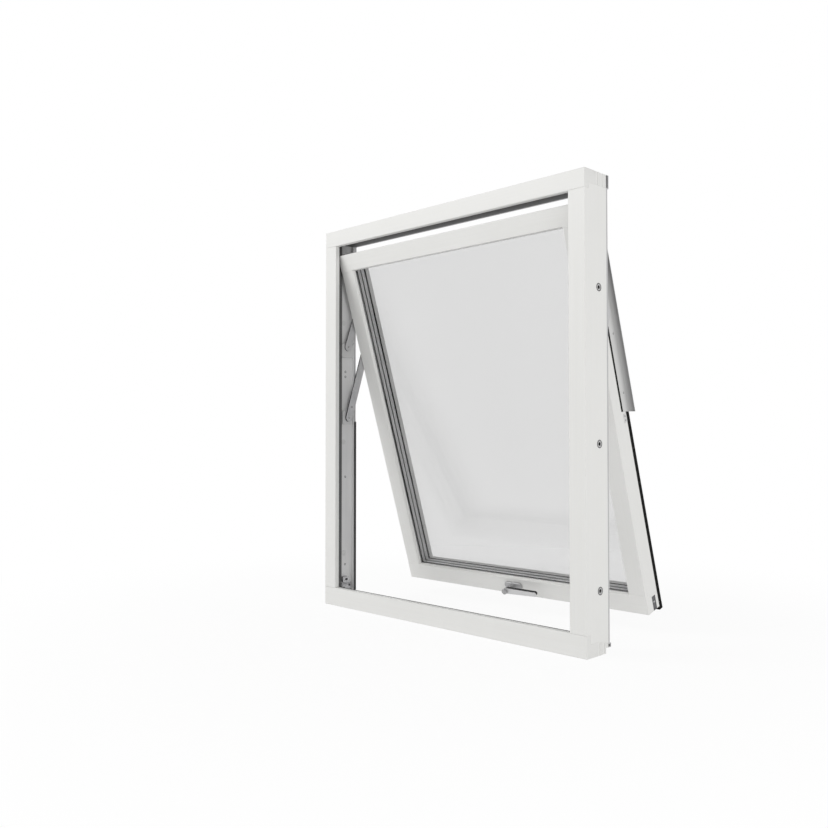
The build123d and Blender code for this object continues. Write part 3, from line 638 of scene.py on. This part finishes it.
# Sash cladding and edge seal: four mitred lengths of white coated aluminium on the weather side, and a
# black rubber round the edge that closes against the frame. A moulded black cap ends it at each lower
# corner.
coat_white = (0.86, 0.86, 0.855, 1)
coat_dull = (0.82, 0.82, 0.815, 1)
corner_in, corner_out = 0.4380, 0.4534
corner_near, corner_far = 0.0585, 0.0736
corner_low, corner_high = 0.0275 - axis_height, 0.0480 - axis_height
corner_round = 0.0012

wear(grained("white_coat", coat_white, coat_dull, orange_peel, turn=tilt, gloss=(0.38, 0.5), lift=0.12,
             depth=0.0002),
     "sash_top_cladding", "sash_bottom_cladding", "left_sash_cladding", "right_sash_cladding")
wear(black_rubber, "sash_edge_seal")
corner_x = (corner_in + corner_out) / 2
corner_y = (corner_near + corner_far) / 2
corner_z = (corner_low + corner_high) / 2
for side, sign in sides:
    sawn_block(corner_out - corner_in, corner_far - corner_near, corner_high - corner_low)
    pick_edges(lambda a, b: (a.y > 0 and b.y > 0) or (a.x * sign > 0 and b.x * sign > 0))
    bpy.ops.mesh.bevel(offset=corner_round, segments=3)
    set_down(sash_place @ Matrix.Translation((sign * corner_x, corner_y, corner_z)))
    modelled(side + "_corner_cap", black_rubber, "sash")


# Covers: folded aluminium lengths that hide the upper half of the channels when the window is shut.
# Their side leg is let into the stile and riveted, with a screwed plate below it. A near-black strip
# beside the leg is a painted shade for the gap there, and a painted shade darkens the fold towards the
# weather side.
cover_pale = (0.66, 0.66, 0.655, 1)
cover_dull = (0.58, 0.58, 0.575, 1)
painted_shade_grey = (0.25, 0.25, 0.25, 1)
painted_shade_start = 0.055
painted_shade_end = 0.089
sash_half = 0.453
cover_rivet_radius = 0.0026
leg_depth = 0.064
leg_heights = (0.642, 0.80, 0.95, 1.07)
plate_depth = 0.0515
plate_heights = (0.571, 0.582)
gap_shade_low = 0.5285
gap_shade_high = 0.7720
gap_shade_depth = 0.0424
gap_shade_width = 0.0080
gap_shade_thickness = 0.0055
gap_shade_border = gap_shade_width * 0.25
gap_shade_groove = 0.0004
gap_shade_proud = 0.00015

room_depth = (sash_place.inverted().to_3x3() @ sash_place.translation).y
# a painted shade darkens the cover coat towards the weather side
cover_painted_shade = (painted_shade_grey, (room_depth + painted_shade_start, room_depth + painted_shade_end))
wear(grained("cover_coat", cover_pale, cover_dull, orange_peel, turn=tilt, gloss=(0.38, 0.5), lift=0.12,
             depth=0.0002, outer=cover_painted_shade),
     "left_cover", "right_cover", "cover_brackets")
rivet = turned_button(cover_rivet_radius, rivet_height, rivet_round, rivet_dish)
on_edge = [(leg_depth, z - axis_height) for z in leg_heights]
on_edge += [(plate_depth, z - axis_height) for z in plate_heights]
for side, sign in sides:
    seat_x = sign * (sash_half - rivet_sunk)
    spots = [sash_place @ facing(seat_x, depth, up, sign > 0) for depth, up in on_edge]
    set_in_places(side + "_cover_rivets", rivet, spots, pin_dark, "sash")
put_away(rivet)
# near-black strips beside the cover legs: a painted shade for the gap there
gap_shade_middle = (gap_shade_low + gap_shade_high) / 2
for side, sign in sides:
    sawn_block(gap_shade_thickness, gap_shade_width, gap_shade_high - gap_shade_low)
    panel_side(sign, gap_shade_border, -sign * gap_shade_groove)
    edge_x = sign * (sash_half + gap_shade_proud - gap_shade_thickness / 2)
    set_down(sash_place @ Matrix.Translation((edge_x, gap_shade_depth, gap_shade_middle)))
    modelled(side + "_cover_gap_shade", black_rubber, "sash")


# Lock: a rack lock in a groove under the bottom rail, of bright zinc, with a dark cover strip over it.
# A near-black end piece closes the groove at each stile and lets the bolt through; its colour is a painted
# shade for the groove's mouth.
lock_bright = (0.48, 0.48, 0.49, 1)
lock_dull = (0.36, 0.36, 0.37, 1)
lock_lines = (0.02, 0.004, 0.004)
strip_dark = (0.10, 0.10, 0.105, 1)
strip_shade = (0.075, 0.075, 0.08, 1)
strip_lines = (0.2, 0.002, 0.002)
end_shade_grey = (0.095, 0.095, 0.10, 1)
end_shade_deep = (0.07, 0.07, 0.075, 1)
end_skin = all_ways(0.003)
lock_depth = 0.038
end_thickness = 0.003
end_width = 0.0176
end_low = -0.0274
end_high = 0.0103
end_border = 0.0012
end_hollow = 0.0006
end_set_back = 0.0022
bolt_offset = 0.0067
bolt_hole = (0.02, 0.009, 0.0054)

wear(grained("bright_zinc", lock_bright, lock_dull, lock_lines, turn=tilt, gloss=(0.25, 0.45), metal=0.85,
             patch=0.03), "lock_case", "lock_pinion", "left_bolt", "right_bolt")
wear(grained("dark_strip", strip_dark, strip_shade, strip_lines, turn=tilt, gloss=(0.4, 0.55), metal=0.3),
     "lock_faceplate")
# near-black end pieces: a painted shade for the groove's mouth
groove_shade_finish = grained("groove_end_shade", end_shade_grey, end_shade_deep, end_skin, turn=tilt, lift=0.1)
for side, sign in sides:
    sawn_block(end_thickness, end_width, end_high - end_low)
    panel_side(sign, end_border, -sign * end_hollow)
    set_down(Matrix.Translation((0, 0, (end_low + end_high) / 2)))
    groove_end = bpy.context.object
    plain_start()
    bpy.ops.mesh.primitive_cube_add(size=1.0, location=(0, 0, -sign * bolt_offset))
    hole = bpy.context.object
    hole.scale = bolt_hole
    bpy.context.view_layer.objects.active = groove_end
    cut = groove_end.modifiers.new("bolt_hole", "BOOLEAN")
    cut.operation = "DIFFERENCE"
    cut.solver = "EXACT"
    cut.object = hole
    bpy.ops.object.modifier_apply(modifier="bolt_hole")
    put_away(hole)
    seat_x = sign * (sash_half - end_set_back)
    groove_end.data.transform(sash_place @ Matrix.Translation((seat_x, lock_depth, 0)))
    plain_start()
    groove_end.select_set(True)
    bpy.context.view_layer.objects.active = groove_end
    modelled(side + "_groove_end", groove_shade_finish, "sash")


# Handle: a satin metal lever on a near-black back, a painted shade for the gap over the lever, on a
# round neck that turns in an oval rose. The rose is screwed to the room face of the bottom rail.
satin_pale = (0.66, 0.66, 0.665, 1)
satin_dull = (0.54, 0.54, 0.545, 1)
rose_pale = (0.44, 0.44, 0.445, 1)
rose_dull = (0.34, 0.34, 0.345, 1)
brush_lines = (0.05, 0.0012, 0.0012)
back_shade_grey = (0.022, 0.022, 0.023, 1)
back_shade_deep = (0.014, 0.014, 0.015, 1)
rose_arris = 0.0012
rose_arris_steps = 3
hub_radius = 0.0085
tip_radius = 0.0062
lever_length = 0.116
front_near, front_far = 0.0420, 0.0450
front_round = 0.0012
back_near, back_far = 0.0310, 0.0421
back_round = 0.0006
back_inset = 0.0003
back_short = 0.0045
neck_radius = 0.0086
neck_start = 0.0078
neck_end = 0.0530
neck_round = 0.0028
flare_share = 1.18
flare_rise = 0.0006
flare_height = 0.0010
paddle_steps = 8


def paddle(hub, tip, reach, near, far, round_over):
    """A flat bar with round ends between two depths and a straight upper edge, drawn out along X."""
    slope = (hub - tip) / (reach - tip)
    turns = [pi / 2 * step / paddle_steps for step in range(paddle_steps + 1)]
    stations = [(-hub * cos(turn), hub * sin(turn)) for turn in turns[1:]]
    stations += [(reach - tip + tip * sin(turn), tip * cos(turn)) for turn in turns[:-1]]
    plain_start()
    bpy.ops.mesh.primitive_plane_add(size=1.0)
    bpy.ops.object.mode_set(mode="EDIT")
    first, last = stations[:2]
    middle = (first[0] + last[0]) / 2
    bpy.ops.transform.resize(value=(last[0] - first[0], 2 * first[1], 1))
    bpy.ops.transform.translate(value=(middle, 0, 0))
    pick_edges(lambda a, b: min(a.x, b.x) > middle)
    bpy.ops.transform.resize(value=(1, last[1] / first[1], 1))
    for station in stations[2:]:
        step = station[0] - last[0]
        bpy.ops.mesh.extrude_region_move(TRANSFORM_OT_translate={"value": (step, slope * step, 0)})
        bpy.ops.transform.resize(value=(1, station[1] / last[1], 1))
        last = station
    bpy.ops.mesh.select_all(action="SELECT")
    bpy.ops.mesh.extrude_region_move(TRANSFORM_OT_translate={"value": (0, 0, far - near)})
    all_outwards()
    bar = bpy.context.object
    eased = bar.modifiers.new("rounded", "BEVEL")
    eased.limit_method = "ANGLE"
    eased.angle_limit = radians(50)
    eased.width = round_over
    eased.segments = 4
    bpy.ops.object.modifier_apply(modifier="rounded")
    bar.data.transform(sash_place @ Matrix.Translation((0, -near, 0)) @ upright)


satin = grained("satin_metal", satin_pale, satin_dull, brush_lines, turn=tilt, gloss=(0.32, 0.45), metal=0.5,
                lift=0.06, depth=0.0001, patch=0.04)
rose_metal = grained("rose_metal", rose_pale, rose_dull, brush_lines, turn=tilt, gloss=(0.35, 0.5), metal=0.5,
                     lift=0.06, depth=0.0001, patch=0.04)
# the lever's near-black back: a painted shade for the gap over the lever
lever_back_shade = grained("lever_gap_shade", back_shade_grey, back_shade_deep, fine_skin, turn=tilt, gloss=(0.45, 0.6), lift=0.1,
                     shine=0.2)
wear(satin, "handle_lever", "handle_spindle")
wear(rose_metal, "handle_rose")
ease_edges(rose_arris, rose_arris_steps, "handle_rose")
paddle(hub_radius, tip_radius, lever_length, front_near, front_far, front_round)
lever_front = modelled("lever_front", satin, "handle")
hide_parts("handle_lever")
paddle(hub_radius - back_inset, tip_radius - back_inset, lever_length - back_short,
       back_near, back_far, back_round)
modelled("lever_back", lever_back_shade, "handle")
plain_start()
bpy.ops.mesh.primitive_cylinder_add(vertices=40, radius=neck_radius, depth=neck_end - neck_start)
bpy.ops.object.mode_set(mode="EDIT")
pick_faces(lambda middle, normal: normal.z < -squarely)
bpy.ops.mesh.extrude_region_move(TRANSFORM_OT_translate={"value": (0, 0, -flare_rise)})
bpy.ops.transform.resize(value=(flare_share, flare_share, 1))
bpy.ops.mesh.extrude_region_move(TRANSFORM_OT_translate={"value": (0, 0, -flare_height)})
pick_edges(lambda a, b: abs(a.z - b.z) < merge_distance and a.z > 0)
bpy.ops.mesh.bevel(offset=neck_round, segments=5)
neck_middle = (neck_start + neck_end) / 2
set_down(sash_place @ Matrix.Translation((0, -neck_middle, 0)) @ upright)
modelled("lever_neck", rose_metal, "handle")


# Camera, light and floor: the window stands on a pale floor, under an even sky and two large soft lamps
# on the room side. Camera, reflections and glass see white beyond it, and the floor glows a little and
# keeps a faint shadow.
lens_length = 37.83
sensor_width = 36.0
eye = (1.6729, -1.7990, 0.5328)
eye_turn = (radians(91.416), 0, radians(45.11))
white = (1, 1, 1, 1)
sky_colour = (1.0, 0.995, 0.985, 1)
sky_room_side, sky_weather_side = 0.63, 0.60
floor_size = 16.0
floor_colour = (0.90, 0.90, 0.90, 1)
floor_glow = 0.5
near_white, far_white = 0.91, 1.0
fade_start, fade_end = 0.5, 1.8


def seen_straight(tree):
    """1 for what the camera, a mirror or the glass looks at, else 0."""
    path = new_node(tree, "LightPath")
    mirror = new_node(tree, "Math", operation="MAXIMUM")
    both = new_node(tree, "Math", operation="MAXIMUM")
    tree.links.new(path.outputs["Is Glossy Ray"], mirror.inputs[0])
    tree.links.new(path.outputs["Is Transmission Ray"], mirror.inputs[1])
    tree.links.new(path.outputs["Is Camera Ray"], both.inputs[0])
    tree.links.new(mirror.outputs["Value"], both.inputs[1])
    return both.outputs["Value"]


def soft_lamp(name, width, height, watts, place, aim):
    """A large plain lamp that looks at a point of the window."""
    lamp = bpy.data.objects.new(name, bpy.data.lights.new(name, "AREA"))
    lamp.data.shape = "RECTANGLE"
    lamp.data.size = width
    lamp.data.size_y = height
    lamp.data.energy = watts
    lamp.location = place
    lamp.rotation_euler = (Vector(aim) - Vector(place)).to_track_quat("-Z", "Y").to_euler()
    bpy.context.scene.collection.objects.link(lamp)


camera = bpy.data.objects.new("camera", bpy.data.cameras.new("camera"))
camera.data.lens = lens_length
camera.data.sensor_width = sensor_width
camera.location = eye
camera.rotation_euler = eye_turn
bpy.context.scene.collection.objects.link(camera)
bpy.context.scene.camera = camera
bpy.context.scene.view_settings.view_transform = "Standard"

world = bpy.data.worlds.new("room")
bpy.context.scene.world = world
world.use_nodes = True
sky = world.node_tree
sky.nodes.clear()
lit = new_node(sky, "Background", {"Color": sky_colour})
heading = new_node(sky, "TexCoord")
parts = new_node(sky, "SeparateXYZ")
level = new_node(sky, "MapRange", {"From Min": -1.0, "From Max": 1.0, "To Min": sky_room_side,
                                   "To Max": sky_weather_side})
shown = new_node(sky, "Background", {"Color": white, "Strength": 1.0})
choice = new_node(sky, "MixShader")
sky_out = new_node(sky, "OutputWorld")
sky.links.new(heading.outputs["Generated"], parts.inputs["Vector"])
sky.links.new(parts.outputs["Y"], level.inputs["Value"])
sky.links.new(level.outputs["Result"], lit.inputs["Strength"])
sky.links.new(seen_straight(sky), choice.inputs["Fac"])
sky.links.new(lit.outputs["Background"], choice.inputs[1])
sky.links.new(shown.outputs["Background"], choice.inputs[2])
sky.links.new(choice.outputs["Shader"], sky_out.inputs["Surface"])

soft_lamp("soft_light", width=1.8, height=1.6, watts=47.0, place=(-1.9, -2.5, 3.0), aim=(0, 0.1, 0.55))
soft_lamp("side_light", width=1.6, height=1.4, watts=17.5, place=(3.1, -0.7, 1.1), aim=(0.4, 0.1, 0.6))

plain_start()
bpy.ops.mesh.primitive_plane_add(size=floor_size, location=(0, 0, 0))
floor = bpy.context.object
floor.name = "floor"
floor_finish = bpy.data.materials.new("pale_floor")
floor_finish.use_nodes = True
ground = floor_finish.node_tree
ground.nodes.clear()
matt = new_node(ground, "BsdfDiffuse", {"Color": floor_colour})
bright = new_node(ground, "Emission", {"Color": white, "Strength": 1.0})
spot = new_node(ground, "TexCoord")
away = new_node(ground, "VectorMath", operation="LENGTH")
fade = new_node(ground, "MapRange", {"From Min": fade_start, "From Max": fade_end, "To Min": near_white,
                                     "To Max": far_white}, interpolation_type="SMOOTHSTEP")
share = new_node(ground, "Math", operation="MULTIPLY")
glow = new_node(ground, "Math", {1: floor_glow}, operation="MAXIMUM")
blend = new_node(ground, "MixShader")
floor_out = new_node(ground, "OutputMaterial")
ground.links.new(spot.outputs["Object"], away.inputs[0])
ground.links.new(away.outputs["Value"], fade.inputs["Value"])
ground.links.new(seen_straight(ground), share.inputs[0])
ground.links.new(fade.outputs["Result"], share.inputs[1])
ground.links.new(share.outputs["Value"], glow.inputs[0])
ground.links.new(glow.outputs["Value"], blend.inputs["Fac"])
ground.links.new(matt.outputs["BSDF"], blend.inputs[1])
ground.links.new(bright.outputs["Emission"], blend.inputs[2])
ground.links.new(blend.outputs["Shader"], floor_out.inputs["Surface"])
floor.data.materials.append(floor_finish)
